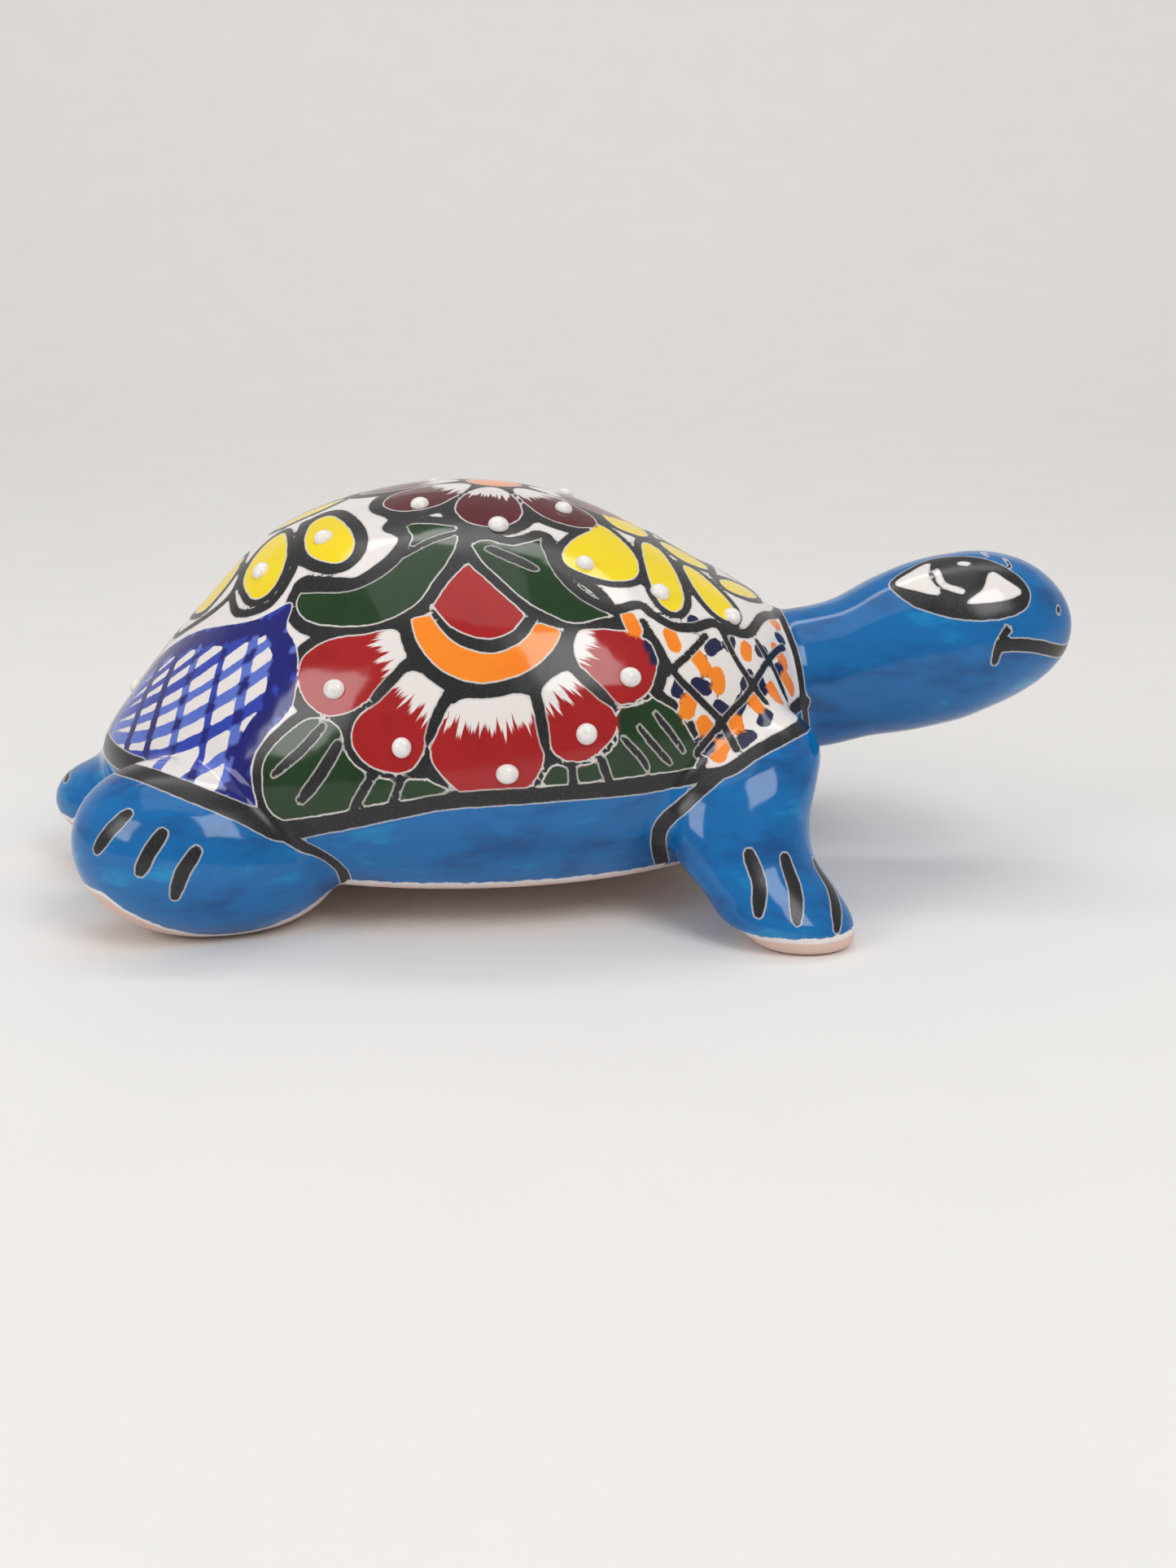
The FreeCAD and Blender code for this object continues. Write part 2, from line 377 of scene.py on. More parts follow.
class Paint:
    """The numbers that the glaze reads, for the vertices of one piece."""

    def __init__(self, points, covered):
        self.points = points * (1, 0, 1) + np.abs(points) * (0, 1, 0)
        self.flat = chart(self.points)
        count = len(points)
        self.tint = np.tile(WHITE_GLAZE, (count, 1))
        self.edge = np.full(count, -FAR if covered else FAR)
        self.band = np.full(count, FAR)
        self.ink = np.full(count, FAR)
        self.feather = np.full(count, FAR)
        self.across = np.zeros(count)
        self.bare = np.full(count, -FAR)

    def lay(self, edge, tint, feather=FAR, across=0.0):
        """Colour where the edge is negative, over what is there."""
        closer = edge < self.edge
        self.edge = np.minimum(self.edge, edge)
        self.tint[closer] = tint
        self.feather[closer] = np.broadcast_to(feather, closer.shape)[closer]
        self.across[closer] = np.broadcast_to(across, closer.shape)[closer]

    def fill(self, outline, tint, band, root=None, start=0.0, corners=(), grow=0.0):
        """A coloured shape in a dark outline. One with a root is white up to start millimetres from it."""
        flat = curve(outline, True, corners)
        gap = distance(self.points, lift(flat), closed=True)
        edge = np.where(within(self.flat, flat), -gap, gap) - grow
        if root is None:
            self.lay(edge, tint)
        else:
            away = self.flat - root
            far = np.hypot(*away.T)
            self.lay(edge, tint, far - start, np.arctan2(away[:, 1], away[:, 0]) * start)
        self.band = np.minimum(self.band, edge - band)

    def dab(self, place, angle, long, wide, tint):
        """A short, round-ended touch of the brush."""
        half = np.array([math.cos(angle), math.sin(angle)]) * (long - wide) / 2
        line = lift([place - half, place + half])
        self.lay(distance(self.points, line) - wide / 2, tint)

    def wash(self, outline, strokes, tints, border):
        """Broad strokes of thin colour inside an outline, darker where they cross and along the border."""
        flat = curve(outline, closed=True)
        gap = distance(self.points, lift(flat), closed=True, reach=30.0)
        edge = np.where(within(self.flat, flat), -gap, gap)
        crossed = np.full(len(edge), FAR)
        for stroke in strokes:
            line = distance(self.points, lift(curve(stroke))) - rng.uniform(1.0, 1.6)
            both = np.maximum(line, crossed)
            self.lay(np.maximum(line, edge), tints[rng.integers(len(tints))])
            self.tint[(both < 0) & (edge < 0)] = tints[-1]
            crossed = np.minimum(crossed, line)
        self.lay(np.abs(edge + border / 2) - border / 2, tints[-1])

    def stroke(self, line, wide, taper=0.0):
        """A dark line on the skin, thinner towards its ends by the taper."""
        spread = np.linspace(-1, 1, len(line))
        if taper == 0:
            self.ink = np.minimum(self.ink, distance(self.points, line) - wide / 2)
            return
        for place, a, b in zip(spread[1:], line, line[1:]):
            thin = wide / 2 * (1 - taper * place**4)
            self.ink = np.minimum(self.ink, distance(self.points, np.array([a, b])) - thin)

    def draw(self, points, wide, taper=0.0):
        """A dark line through these places of the chart."""
        self.stroke(lift(curve(points)), wide, taper)

    def outline(self):
        """Inks the bands round the coloured shapes."""
        self.ink = np.minimum(self.ink, np.maximum(MARGIN - self.edge, self.band))

    def numbers(self):
        """What the glaze reads, by the attribute's name."""
        return {
            "tint": self.tint,
            "cover": -self.edge,
            "ink": self.ink,
            "feather": self.feather,
            "across": self.across,
            "bare": self.bare,
        }


def paint_rosette(paint):
    """Eight maroon petals round an orange heart, on top of the dome."""
    heart = np.array([-15.0, 0.0])
    for number in range(8):
        turn = math.radians(45 * number)
        out, side = np.array([math.cos(turn), math.sin(turn)]), np.array([-math.sin(turn), math.cos(turn)])
        petal = [
            (9.5, -2.0), (17, -6.2), (25, -7.5), (30.5, -4.5), (32, 0), (30.5, 4.5), (25, 7.5),
            (17, 6.2), (9.5, 2.0),
        ]
        outline = [heart + out * away + side * aside for away, aside in petal]
        paint.fill(outline, MAROON, 3.6, heart, 16.0)
    turns = np.arange(0, 2 * math.pi, math.pi / 6)
    ring = [heart + 6.5 * np.array([math.cos(a), math.sin(a)]) for a in turns]
    paint.fill(ring, ORANGE, 2.5)


def paint_flower(paint):
    """The big side flower: a red tip in an orange crescent, over five feathered petals."""
    tip = [
        (-18.8, 45.8), (-22.4, 51), (-25.8, 57.5), (-21, 63), (-14, 65.3), (-9, 63.5), (-5.8, 59.3),
        (-13, 52),
    ]
    paint.fill(tip, RED, 3.0, corners=(0, 2, 6))
    crescent = [
        (-30.5, 60.5), (-28.5, 66.5), (-24.5, 71.5), (-18, 74.8), (-12, 74.8), (-5, 72.3), (0, 67.5),
        (2, 62.5),
    ]
    crescent += [(-3.2, 61), (-6.5, 66), (-12.5, 68.8), (-19, 67.5), (-23.5, 64), (-26.5, 59.5)]
    paint.fill(crescent, ORANGE, 2.8, corners=(0, 7, 8, 13))
    root = np.array([-13.5, 61.0])
    petals = (
        (24.5, [
            (-34, 64), (-41, 64.3), (-48, 64.5), (-53.5, 67.5), (-54.5, 73), (-52.5, 78), (-48, 81),
            (-41.5, 79), (-32.5, 70.5),
        ]),
        (25.0, [
            (-30, 73.5), (-37, 79.5), (-41.5, 84), (-41.5, 89), (-37.5, 92.5), (-31, 93), (-28, 89),
            (-26, 84), (-22.8, 78.8),
        ]),
        (24.0, [
            (-19.2, 79.8), (-24, 87), (-24.5, 91.5), (-19, 97.5), (-13, 98.8), (-6.5, 97.5), (-2.7, 92),
            (-3.2, 85), (-4.6, 78.8),
        ]),
        (23.5, [
            (-1.4, 77.6), (0, 85.5), (1.2, 89.5), (4.8, 91.4), (9, 90), (13, 85.5), (12.7, 81.5),
            (8.5, 77), (3.6, 73.2),
        ]),
        (22.5, [
            (6, 63.8), (9.5, 62.4), (15.5, 62), (20.5, 64), (22, 69), (20.5, 75), (16.5, 78),
            (12, 77.5), (6.4, 69.5),
        ]),
    )
    for start, outline in petals:
        paint.fill(outline, RED, 3.0, root, start, grow=0.8)
    dividers = (
        [(-30.5, 70), (-34, 74), (-39, 79.5)],
        [(-21.8, 77.5), (-23.8, 81), (-26.5, 88)],
        [(-3.7, 76.5), (-2.6, 81), (-1, 90)],
        [(4.6, 71.3), (8, 74.5), (13.5, 79.5)],
    )
    for divider in dividers:
        paint.draw(divider, 2.4, 0.5)
    under = [
        (-32, 61), (-30.3, 67.3), (-25.7, 73), (-18.6, 76.8), (-11.6, 76.8), (-4, 74.1), (1.9, 68.8),
        (3.9, 63),
    ]
    paint.draw(under, 2.8)


def paint_leaves(paint):
    """Dark green leaves round the flower, with veins."""
    big = [
        (-35, 31.5), (-28, 31.5), (-22, 33), (-21.5, 38), (-23.3, 45), (-26.3, 51), (-30, 57),
        (-38, 60.8), (-47, 60.3),
    ]
    big += [
        (-54, 57.5), (-57, 52), (-55.5, 47.5), (-50, 49.5), (-43, 51), (-37, 47), (-33, 42),
        (-31.5, 36),
    ]
    paint.fill(big, GREEN, 3.2, corners=(0, 2, 11))
    other = [
        (-18, 39.5), (-15, 37.5), (-9, 38.5), (-3, 34.5), (-0.5, 41), (3.5, 46.5), (9, 51), (12.5, 57),
        (5, 60.3),
    ]
    other += [(0, 58.7), (-5.5, 55.6), (-11, 50), (-15.6, 44.6)]
    paint.fill(other, GREEN, 3.0, corners=(0, 3, 7))
    low = [
        (-52, 82.5), (-58, 86.5), (-62.8, 93), (-62.5, 102.5), (-59, 106.3), (-46, 103), (-34.5, 100.2),
        (-20, 98.6),
    ]
    low += [(-27, 95.5), (-37, 95.3), (-43.5, 91.5), (-46, 84.5)]
    paint.fill(low, GREEN, 2.6, corners=(4, 7, 8))
    front = [
        (14.5, 81), (18.5, 79.3), (22, 77.5), (27, 80.5), (30.5, 86.5), (32.5, 92), (31, 96),
        (20, 96.3), (8, 97),
    ]
    front += [(-2.5, 97.3), (0.3, 93), (4.4, 93.5), (9, 92.5), (14, 88.5)]
    paint.fill(front, GREEN, 2.2, corners=(2, 6, 9))
    veins = (
        (1.6, [(-33, 42.5), (-27, 38), (-21.5, 35)]),
        (2.4, [(-14, 40.5), (-9, 43), (-4, 45.5)]),
        (2.0, [(-49.5, 84.5), (-54, 89.5), (-60.5, 95.5)]),
        (2.6, [(-46, 88.5), (-50, 95), (-54.5, 101)]),
        (2.0, [(-38.5, 95), (-41, 99), (-43, 103)]),
        (1.6, [(-32, 95), (-34.5, 101)]),
        (1.3, [(22.5, 81), (26, 86), (29, 91)]),
        (1.3, [(19, 84.5), (23, 90), (26, 94)]),
        (1.3, [(15.5, 87), (19.5, 92), (21, 95)]),
        (1.8, [(10.8, 92), (12.3, 97)]),
        (1.8, [(4.4, 93), (4.6, 97.5)]),
    )
    for wide, vein in veins:
        paint.draw(vein, wide, 0.3)


def paint_fans(paint):
    """Yellow petals before and behind the rosette, each in its own outline."""
    front = (
        [
            (11, 18), (16, 24), (19, 32), (18.5, 40.5), (14, 44.5), (8.3, 44.5), (3.2, 42.4), (2.3, 38),
            (4.3, 32), (8.3, 24.5),
        ],
        [
            (20.8, 18), (23.8, 16), (26.8, 24), (29, 37), (29.3, 46), (27.3, 51), (24, 48.6), (22, 40),
            (20.9, 29.5),
        ],
        [(30.4, 21), (33.8, 20.6), (38.5, 30), (41.6, 39), (40.8, 46), (37.3, 46), (34, 40), (31.7, 31)],
        [(11.5, 7), (15, 2), (21, 1), (22, 7), (19.5, 12.5), (14.6, 13.5)],
        [(25.5, 9), (27, 3), (33, 1.5), (36.5, 5), (35.5, 12), (30, 15)],
        [(39.5, 17.5), (43, 8), (47.5, 4), (48.5, 11), (45.5, 21), (41, 24)],
    )
    rear = (
        [
            (-52, 19), (-47, 29), (-45, 36), (-46, 41), (-49.4, 41.5), (-54.5, 37), (-57, 30),
            (-57, 21), (-55, 17.6),
        ],
        [(-64, 17), (-61.6, 31), (-62.5, 41), (-65.6, 45), (-69, 43), (-72, 33), (-71, 23), (-68, 16.6)],
        [(-77, 5), (-75, 13), (-76, 22), (-79, 27), (-83.5, 29), (-87, 18), (-86, 6)],
        [(-51, 3), (-56, 9), (-64, 9), (-68, 3), (-63, 1.5), (-56, 1.5)],
    )
    for outline in front + rear:
        paint.fill(outline, YELLOW, 3.4 if outline is rear[0] else 2.2)
    paint.fill([(-97, 4), (-94, 14), (-98, 24), (-105, 22), (-107, 10)], YELLOW, 2.0)
    edges = (
        (2.5, [
            (-1.5, 36), (0.5, 43), (3.6, 48.7), (8.3, 53), (13.7, 54.8), (19.3, 51.5), (22, 54),
            (27, 56.5), (32, 55),
        ]),
        (2.5, [(32, 55), (36, 51), (39.6, 51.5), (45, 48), (49, 32), (53, 15), (55, 0)]),
        (2.6, [(-40.7, 21), (-35, 31), (-33.5, 40), (-37.4, 46.5), (-45, 50), (-57, 47)]),
        (2.2, [(-59, 16), (-59.2, 28), (-59, 40), (-64, 49), (-72, 47), (-75, 36)]),
        (2.2, [(-74.5, 16), (-73.5, 27), (-76, 36), (-84, 36), (-91, 28), (-92, 14), (-91, 0)]),
        (2.0, [(22.5, 0), (23.5, 8), (24, 15)]),
        (2.0, [(38, 0), (38, 8), (37.5, 17)]),
    )
    for wide, edge in edges:
        paint.draw(edge, wide)


def paint_hatch(paint):
    """Blue cross-hatching round the rear, under the yellow petals."""
    region = [
        (-76, 49), (-67, 52.5), (-58.5, 51), (-59, 58), (-56, 66), (-56.5, 79), (-62, 86), (-66, 94),
        (-64.5, 104.5),
    ]
    region += [(-64.5, 112), (-111.8, 112), (-111.8, 40), (-100, 30), (-90, 38)]
    upright = []
    for x in np.arange(-62, -114, -7.2):
        x += rng.uniform(-0.8, 0.8)
        upright.append([(x + 4, 44), (x + 1.5, 60), (x - 1, 82), (x - 4, 106)])
    level = []
    for g in np.arange(36, 122, 7.8):
        g += rng.uniform(-0.9, 0.9)
        level.append([(-112, g + 10), (-92, g + 4), (-74, g - 6), (-54, g - 20)])
    paint.wash(region, upright + level, (HATCH_PALE, HATCH, HATCH, HATCH_DARK), 5.6)


def paint_dabs(paint):
    """Orange and navy dabs under crossing lines, at the front of each side."""
    orange = [
        (17.5, 58.5), (26.5, 61), (30, 78.6), (37, 70.4), (44, 57), (46, 76), (52.5, 26), (51, 70),
        (53, 49), (37.5, 91),
    ]
    orange += [(33, 66), (55, 60), (41, 83), (34, 84.5)]
    navy = [
        (21, 66), (27.7, 74), (33, 73), (31.5, 54), (36, 60), (40, 56.5), (44, 68), (48, 53.5),
        (53.5, 36), (52.5, 57),
    ]
    navy += [(42, 77), (38, 79), (34, 90), (37.5, 86), (43, 88), (47.5, 68), (48, 81)]
    for place in orange:
        paint.dab(place, rng.uniform(0.8, 2.0), rng.uniform(6.2, 8.2), rng.uniform(3.6, 4.4), ORANGE)
    for place in navy:
        paint.dab(place, rng.uniform(0.2, 2.4), rng.uniform(5.5, 8.0), rng.uniform(3.0, 3.8), NAVY)
    crossing = (
        [(20, 57), (26, 69), (32, 76), (37.5, 82.6), (41, 91)],
        [(34.4, 57), (29.4, 65.5), (23, 73)],
        [(38, 52.5), (41, 61), (44.4, 67.4), (48.7, 75)],
        [(54.4, 40), (45.3, 69.6), (39, 81), (32, 91.6)],
        [(47, 50), (51.5, 60), (54.5, 70)],
    )
    for line in crossing:
        paint.draw(line, 1.7)


def paint_eye(paint):
    """A dark almond with white corners and a lit iris, a short smile, a nostril and two lashes."""
    outline = [
        (80.7, 7.1), (86.3, 3.6), (92.5, 1.7), (99.7, 4.1), (106.6, 8.6), (111.2, 13.3), (113.1, 18.2),
    ]
    outline += [(111.2, 22.9), (105, 24.6), (95.8, 22.8), (87.8, 18.6), (83.3, 14.1)]
    corners = (
        [(81.8, 8), (86, 5.6), (90.6, 4), (89.6, 9.5), (91.6, 15.6), (86, 12.6)],
        [(104, 11.5), (107.4, 14.2), (111, 17.9), (106, 20.2), (97.5, 19.4), (101.4, 16.5)],
    )
    middle, _, _ = through(NECK, paint.points[:, 0])
    angle = np.arctan2(paint.points[:, 1], paint.points[:, 2] - middle)
    flat = np.stack([paint.points[:, 0], SKULL * angle], 1)

    def edge(points):
        line = curve(points, closed=True)
        gap = distance(paint.points, lift_head(line), closed=True)
        return np.where(within(flat, line), -gap, gap)

    ink = edge(outline)
    white = np.minimum(edge(corners[0]), edge(corners[1]))
    glint = distance(paint.points, lift_head(curve([(91.5, 8), (92.5, 13), (96.5, 16)]))) - 0.8
    spark = distance(paint.points, lift_head([(97.6, 7.0), (98.8, 7.6)])) - 0.9
    white = np.minimum(white, np.minimum(glint, spark))
    paint.edge = np.maximum(paint.edge, -white)
    paint.ink = np.minimum(paint.ink, np.maximum(ink, 0.1 - white))
    for points, wide in (
        ([(105.6, 31.2), (112, 32.6), (118.5, 36), (124, 43), (125.6, 53), (125.8, 62.8)], 3.0),
        ([(107.2, 27.6), (105.1, 30.6), (104.4, 35)], 1.8),
        ([(104, 1.5), (104.3, 4.5)], 0.8),
        ([(108.6, 5.2), (109.2, 9.3)], 0.8),
        ([(121.2, 20.4), (121, 22)], 1.5),
    ):
        paint.stroke(lift_head(curve(points)), wide)


# ---------------------------------------------------------------- the lines that the skin is divided along

# Where the painted shell ends: reach, and height. Over the rear legs the line also sinks towards the
# spine, by SINK for each millimetre inwards from FLANK.
RIM = [(-115, 52), (-108, 46), (-101, 42.3), (-87, 38.3), (-77, 34.4), (-68, 30.5), (-59, 26), (-49, 28)]
RIM += [(-38, 31), (-25, 34), (0, 35.3), (30, 36), (38, 37.5), (46, 41.5), (54, 44), (62, 45)]
FLANK, SINK = 60.0, 0.287


def rearward(x):
    """0 ahead of the rear legs, and 1 over them."""
    return np.clip((-50 - x) / 12, 0, 1)


def rim(points):
    """How far a point is below the painted shell."""
    x, y, z = points.T
    sink = SINK * rearward(x) * (FLANK - np.abs(y))
    return through(RIM, x)[0] - sink - z


def joint(part, other):
    """How far a point is out of one shape's share of the skin."""
    return lambda points: part(*points.T) - other(*points.T)


VENT, VENT_RADIUS = (-20.0, 0.0), 1.8


def vent(points):
    """How far a point is outside the round vent in the belly."""
    away = np.hypot(points[:, 0] - VENT[0], points[:, 1] - VENT[1]) - VENT_RADIUS
    return np.where(points[:, 2] < SEAM, away, FAR)


def divide(verts, tris):
    """Every piece of the skin, by name, and the points along the edge of the shell."""
    head_side, rest = split(verts, tris, joint(head, body)(verts))
    shell, under = split(*rest, rim(rest[0]))
    fore, under = split(*under, joint(limb, body)(under[0]))
    hind, under = split(*under, joint(haunch, body)(under[0]))
    back, under = split(*under, joint(tail, body)(under[0]))
    under = split(*under, vent(under[0]))[1]
    pieces = {"head_neck": head_side, "carapace": shell, "plastron": under, "tail": back}
    for name, both in (("leg_front", fore), ("leg_rear", hind)):
        right, left = split(*both, both[0][:, 1])
        pieces[f"{name}_right"], pieces[f"{name}_left"] = right, left
    lower = [piece[0] for name, piece in pieces.items() if name not in ("carapace", "head_neck")]
    below = np.concatenate(lower)
    return pieces, below[np.abs(rim(below)) < 0.02]


def bare_height(points):
    """The height up to which the clay is bare: low on the feet, and the whole underside of the belly."""
    x, y, z = points.T
    hind = np.minimum(1 + 12 * ((x + 71) / 26.6) ** 2, 13)
    feet = np.where(x < -45, hind, np.where(x > 26, 3.6, 12.0))
    return np.where((np.abs(y) < 48) & (z < 13), 12.5, feet)


def paint_joints(paint, border):
    """The dark lines along the rim and round each limb, and the bare clay where the glaze stops."""
    p = paint.points
    thick = 1.7 + 0.7 * rearward(p[:, 0])
    paint.ink = np.minimum(paint.ink, nearest(p, border) - thick)
    collar = np.abs(head(*p.T) - body(*p.T))
    paint.ink = np.minimum(paint.ink, np.where((p[:, 0] > 45) & (p[:, 2] > 38), collar - 1.0, FAR))
    rear = [(-59, 61, 26), (-55, 60, 22.5), (-50, 59, 20), (-47, 58, 16), (-46.5, 54, 11)]
    paint.stroke(settle(curve(rear)), 2.6)
    fore = [
        (37, 53, 37), (33, 54.6, 34), (28.6, 55, 30), (24.7, 54, 26), (23.6, 53, 22.6), (24, 49, 17.6),
        (25, 45, 13),
    ]
    paint.stroke(settle(curve(fore)), 3.2)
    paint.stroke(settle(curve([(-122, 6, 21.5), (-122.5, 0, 22), (-122, -6, 21.5)])), 2.0, 0.5)
    dashes = (
        [(-91, 67, 32), (-95, 68, 28), (-98, 68, 24)],
        [(-83, 70, 28.5), (-86, 71, 24), (-88, 71.5, 20)],
        [(-76, 70, 24.5), (-79, 71, 20), (-81, 71, 14.6)],
        [(43, 63, 21.7), (45, 66, 16), (44.7, 69, 10)],
        [(51, 61, 20), (53, 65, 14.6), (53, 70, 8.4)],
        [(58.7, 55, 17), (61.7, 60, 12), (62, 68, 6)],
    )
    for dash in dashes:
        paint.stroke(settle(curve(dash)), 3.0, 0.4)
    paint.bare = bare_height(p) - p[:, 2]


# ---------------------------------------------------------------- materials


class Nodes:
    """A material's nodes, made and joined in short calls."""

    def __init__(self, name):
        self.material = bpy.data.materials.new(name)
        self.material.use_nodes = True
        self.tree = self.material.node_tree
        self.shader = next(n for n in self.tree.nodes if n.type == "BSDF_PRINCIPLED")

    def join(self, value, socket):
        if isinstance(value, bpy.types.NodeSocket):
            self.tree.links.new(value, socket)
        else:
            socket.default_value = value

    def attribute(self, name, kind="Fac"):
        node = self.tree.nodes.new("ShaderNodeAttribute")
        node.attribute_name = name
        return node.outputs[kind]

    def math(self, kind, a, b=0.0, c=0.0):
        node = self.tree.nodes.new("ShaderNodeMath")
        node.operation = kind
        for value, socket in zip((a, b, c), node.inputs):
            self.join(value, socket)
        return node.outputs[0]

    def ramp(self, value, low, high, out_low=0.0, out_high=1.0):
        node = self.tree.nodes.new("ShaderNodeMapRange")
        node.interpolation_type = "SMOOTHSTEP"
        for item, socket in zip((value, low, high, out_low, out_high), node.inputs):
            self.join(item, socket)
        return node.outputs[0]

    def mix(self, share, a, b, blend="MIX"):
        node = self.tree.nodes.new("ShaderNodeMix")
        node.data_type = "RGBA"
        node.blend_type = blend
        self.join(share, node.inputs[0])
        self.join(a if isinstance(a, bpy.types.NodeSocket) else (*a, 1), node.inputs[6])
        self.join(b if isinstance(b, bpy.types.NodeSocket) else (*b, 1), node.inputs[7])
        return node.outputs[2]

    def noise(self, size, detail=2.0, rough=0.5, stretch=(1, 1, 1), line=None):
        """Noise with features of about this many millimetres."""
        node = self.tree.nodes.new("ShaderNodeTexNoise")
        node.inputs["Detail"].default_value = detail
        node.inputs["Roughness"].default_value = rough
        if line is not None:
            node.noise_dimensions = "1D"
            self.join(line, node.inputs["W"])
            node.inputs["Scale"].default_value = 1 / size
            return node.outputs["Fac"]
        place = self.tree.nodes.new("ShaderNodeTexCoord")
        mapping = self.tree.nodes.new("ShaderNodeMapping")
        mapping.inputs["Scale"].default_value = [s / (size * MM) for s in stretch]
        self.tree.links.new(place.outputs["Object"], mapping.inputs["Vector"])
        self.tree.links.new(mapping.outputs[0], node.inputs["Vector"])
        node.inputs["Scale"].default_value = 1.0
        return node.outputs["Fac"]

    def bump(self, height, deep):
        node = self.tree.nodes.new("ShaderNodeBump")
        node.inputs["Distance"].default_value = deep * MM
        self.join(height, node.inputs["Height"])
        self.tree.links.new(node.outputs[0], self.shader.inputs["Normal"])


def glaze(name, streaky):
    """Glossy paint laid as the vertices' numbers say, with charcoal outlines, over white or blue."""
    n = Nodes(name)
    wobble = n.math("SUBTRACT", n.noise(2.6, 3.0, 0.6), 0.5)
    cover = n.math("MULTIPLY_ADD", wobble, 0.7, n.attribute("cover"))
    ink = n.math("MULTIPLY_ADD", wobble, 0.55, n.attribute("ink"))
    cloud = n.noise(9.0, 4.0, 0.6)
    if streaky:
        drift = n.noise(14.0, 4.0, 0.62, (0.55, 1.0, 1.7))
        paint = n.mix(n.ramp(drift, 0.30, 0.52), BLUE_DEEP, BLUE_MID)
        paint = n.mix(n.ramp(drift, 0.55, 0.76), paint, BLUE_PALE)
    else:
        streaks = n.noise(1.3, 2.0, 0.7, line=n.attribute("across"))
        feather = n.math("MULTIPLY_ADD", n.math("SUBTRACT", streaks, 0.5), 11.0, n.attribute("feather"))
        tint = n.attribute("tint", "Color")
        paint = n.mix(n.ramp(cloud, 0.45, 0.8, 0.0, 0.3), tint, tint, "MULTIPLY")
        paint = n.mix(n.ramp(feather, -0.6, 0.8), WHITE_GLAZE, paint)
    colour = n.mix(n.ramp(cover, -0.12, 0.18), WHITE_GLAZE, paint)
    colour = n.mix(n.ramp(ink, MARGIN - 0.05, MARGIN + 0.15, 0.7, 0.0), colour, GAP)
    grain = n.noise(0.45, 2.0, 0.8)
    charcoal = n.mix(n.ramp(grain, 0.5, 0.9), CHARCOAL, linear(78, 78, 82))
    dark = n.ramp(ink, -0.12, 0.12, 1.0, 0.0)
    colour = n.mix(dark, colour, charcoal)
    bare = n.math("MULTIPLY_ADD", wobble, 1.6, n.attribute("bare"))
    lip = n.ramp(bare, -1.4, -1.0)
    colour = n.mix(lip, colour, WHITE_GLAZE)
    clay = n.ramp(bare, -0.2, 0.3)
    colour = n.mix(clay, colour, CLAY)
    n.join(colour, n.shader.inputs["Base Color"])
    gloss = n.ramp(dark, 0.0, 1.0, 0.1, 0.26)
    n.join(n.math("ADD", gloss, n.math("MULTIPLY", clay, 0.6)), n.shader.inputs["Roughness"])
    n.shader.inputs["IOR"].default_value = 1.5
    n.bump(n.math("MULTIPLY_ADD", dark, -0.12, n.noise(16.0, 2.0, 0.45)), 0.5)
    return n.material


def enamel(name):
    n = Nodes(name)
    colour = n.mix(n.ramp(n.noise(1.5), 0.4, 0.8), ENAMEL, linear(228, 222, 218))
    n.join(colour, n.shader.inputs["Base Color"])
    n.shader.inputs["Roughness"].default_value = 0.1
    n.bump(n.noise(2.0), 0.1)
    return n.material


def paper(name):
    n = Nodes(name)
    colour = n.mix(n.ramp(n.noise(60.0, 4.0), 0.3, 0.8), linear(240, 238, 236), linear(238, 236, 234))
    n.join(colour, n.shader.inputs["Base Color"])
    n.shader.inputs["Roughness"].default_value = 0.85
    return n.material


# ---------------------------------------------------------------- pieces


def object_from(name, verts, faces, material, normals=None):
    mesh = bpy.data.meshes.new(name)
    mesh.from_pydata((verts * MM).tolist(), [], [list(face) for face in faces])
    mesh.materials.append(material)
    mesh.polygons.foreach_set("use_smooth", np.ones(len(mesh.polygons), bool))
    if normals is not None:
        mesh.normals_split_custom_set_from_vertices(normals.tolist())
    thing = bpy.data.objects.new(name, mesh)
    bpy.context.collection.objects.link(thing)
    return thing


def ceramic(name, verts, tris, material, paint):
    """A piece of the skin with an inner side, closed along its edges."""
    slope = gradient(verts)
    normals = slope / np.linalg.norm(slope, axis=1)[:, None]
    edges = np.concatenate([tris[:, [0, 1]], tris[:, [1, 2]], tris[:, [2, 0]]])
    code = edges.min(1) * len(verts) + edges.max(1)
    _, first, uses = np.unique(code, return_index=True, return_counts=True)
    a, b = edges[first[uses == 1]].T
    shift = len(verts)
    brim = np.concatenate([np.stack([b, a, a + shift], 1), np.stack([b, a + shift, b + shift], 1)])
    faces = np.concatenate([tris, tris[:, ::-1] + shift, brim])
    both = np.concatenate([verts, verts - normals * WALL])
    thing = object_from(f"glazed_{name}", both, faces.tolist(), material, np.concatenate([normals, -normals]))
    for key, values in paint.numbers().items():
        values = np.concatenate([values, values])
        kind = "FLOAT_COLOR" if values.ndim > 1 else "FLOAT"
        layer = thing.data.attributes.new(key, kind, "POINT")
        if values.ndim > 1:
            values = np.concatenate([values, np.ones((len(values), 1))], 1)
            layer.data.foreach_set("color", values.astype(np.float32).ravel())
        else:
            layer.data.foreach_set("value", values.astype(np.float32))
    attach(thing, "root")
    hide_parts(name)


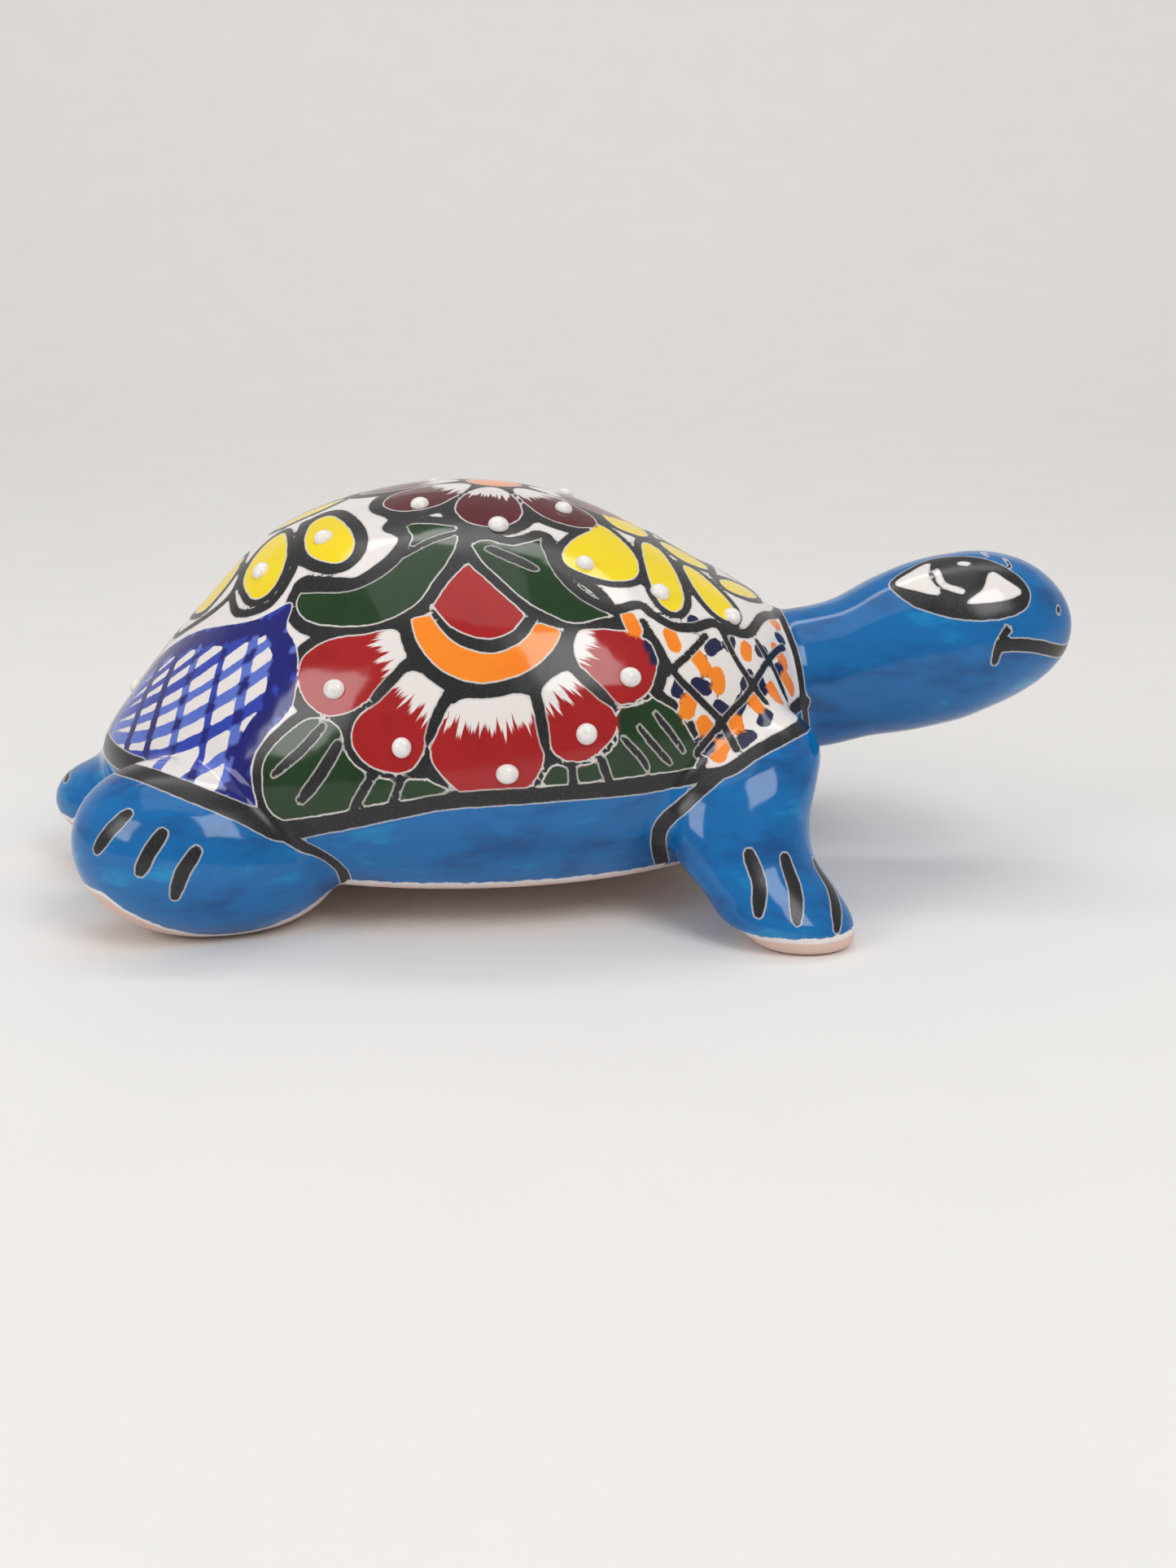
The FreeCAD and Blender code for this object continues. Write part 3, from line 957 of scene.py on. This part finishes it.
def drops(name, places, material):
    """Droplets of enamel, each a little flat and uneven, sunk into the glaze."""
    made = bmesh.new()
    bmesh.ops.create_uvsphere(made, u_segments=24, v_segments=14, radius=1.0)
    ball = np.array([v.co for v in made.verts])
    sides = [[v.index for v in face.verts] for face in made.faces]
    made.free()
    verts, faces = [], []
    for reach, degrees in places:
        spot = lift([(reach, math.radians(abs(degrees)) * ROUND)])
        spot[:, 1] *= -1 if degrees > 0 else 1
        out = gradient(spot)[0]
        out /= np.linalg.norm(out)
        side = np.cross(out, (1, 0, 0))
        side /= np.linalg.norm(side)
        size = (*rng.uniform(2.1, 2.5, 2), rng.uniform(1.55, 1.85))
        faces += [[corner + len(verts) * len(ball) for corner in face] for face in sides]
        verts.append(ball * size @ np.array([np.cross(side, out), side, out]) + spot + out * 0.1)
    thing = object_from(f"enamel_{name}", np.concatenate(verts), faces, material)
    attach(thing, "root")
    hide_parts(name)


FLOWER_DROPS = [(-47, 68), (-32, 79.5), (-9.5, 84.5), (7.5, 77), (17, 65)]
FRONT_DROPS = [(7, 36.5), (24, 40), (41, 39.5)]
REAR_DROPS = [(-52.5, 27.5), (-67.5, 30)]
CROWN_DROPS = [(-31, 19.5), (-12.5, 28), (2, 14)]
RUMP_DROP = [(-105, -6)]


def other_side(places):
    return [(reach, -degrees) for reach, degrees in places]


painted, blue, white = glaze("painted_glaze", False), glaze("blue_glaze", True), enamel("white_enamel")
skin, quads = net(NET_STEP)
skin = relax(settle(skin), quads, 2)
triangles = np.concatenate([quads[:, [0, 1, 2]], quads[:, [0, 2, 3]]])
parts, border = divide(skin, triangles)
for name, (verts, tris) in parts.items():
    shell = name == "carapace"
    paint = Paint(verts, covered=not shell)
    if shell:
        for work in (paint_rosette, paint_flower, paint_leaves, paint_fans, paint_hatch, paint_dabs):
            work(paint)
        paint.outline()
    if name == "head_neck":
        paint_eye(paint)
    paint_joints(paint, border)
    ceramic(name, verts, tris, painted if shell else blue, paint)
for name, places in {
    "drops_flower_right": FLOWER_DROPS,
    "drops_flower_left": other_side(FLOWER_DROPS),
    "drops_front_right": FRONT_DROPS,
    "drops_front_left": other_side(FRONT_DROPS),
    "drops_rear_right": REAR_DROPS,
    "drops_rear_left": other_side(REAR_DROPS),
    "drops_crown": CROWN_DROPS + other_side(CROWN_DROPS),
    "drop_rump": RUMP_DROP,
}.items():
    drops(name, places, white)

# ---------------------------------------------------------------- studio


def sweep_floor():
    """A round sheet of paper: flat under the turtle, and curving up on every side far from it."""
    flat, bend = 1.6, 1.6
    turn = np.linspace(0, math.pi / 2, 25)
    profile = [(0.01, 0.0)] + [(flat + bend * math.sin(a), bend - bend * math.cos(a)) for a in turn]
    around = np.linspace(0, 2 * math.pi, 96, endpoint=False)
    verts = np.array([(r * math.cos(a), r * math.sin(a), z) for a in around for r, z in profile]) / MM
    count = len(profile)
    starts = [(i, i + count) for i in range(0, len(verts) - count, count)] + [(len(verts) - count, 0)]
    faces = [(i + k, j + k, j + k + 1, i + k + 1)[::-1] for i, j in starts for k in range(count - 1)]
    faces.append(range(0, len(verts), count))
    object_from("floor", verts, faces, paper("paper"))


def lamp(name, place, aim, size, power):
    light = bpy.data.lights.new(name, "AREA")
    light.shape = "RECTANGLE"
    light.size, light.size_y = size
    light.energy = power
    thing = bpy.data.objects.new(name, light)
    thing.location = place
    way = np.array(aim) - np.array(place)
    thing.rotation_euler = Vector(way).to_track_quat("-Z", "Y").to_euler()
    bpy.context.collection.objects.link(thing)


sweep_floor()
lamp("overhead", (-0.15, 0.0, 1.0), (0, 0, 0), (0.9, 0.7), 1.4)
lamp("window", (0.42, -0.62, 0.85), (0, 0, 0.04), (0.46, 0.6), 3.8)
lamp("side", (-0.7, -0.55, 0.5), (-0.05, 0, 0.04), (0.36, 0.42), 2.0)
lamp("backdrop", (0, 1.0, 2.4), (0, 2.6, 0.9), (2.5, 1.0), 25.0)

world = bpy.data.worlds.new("room")
world.use_nodes = True
world.node_tree.nodes["Background"].inputs["Color"].default_value = (1.0, 0.985, 0.965, 1)
world.node_tree.nodes["Background"].inputs["Strength"].default_value = 0.44
scene = bpy.context.scene
scene.world = world
scene.view_settings.view_transform = "Standard"

camera = bpy.data.objects.new("camera", bpy.data.cameras.new("camera"))
camera.data.sensor_width = 36
camera.data.lens = 39.2
camera.location = (0.0078, -0.417, 0.139)
camera.rotation_euler = (math.radians(90 - 16), 0, 0)
bpy.context.collection.objects.link(camera)
scene.camera = camera
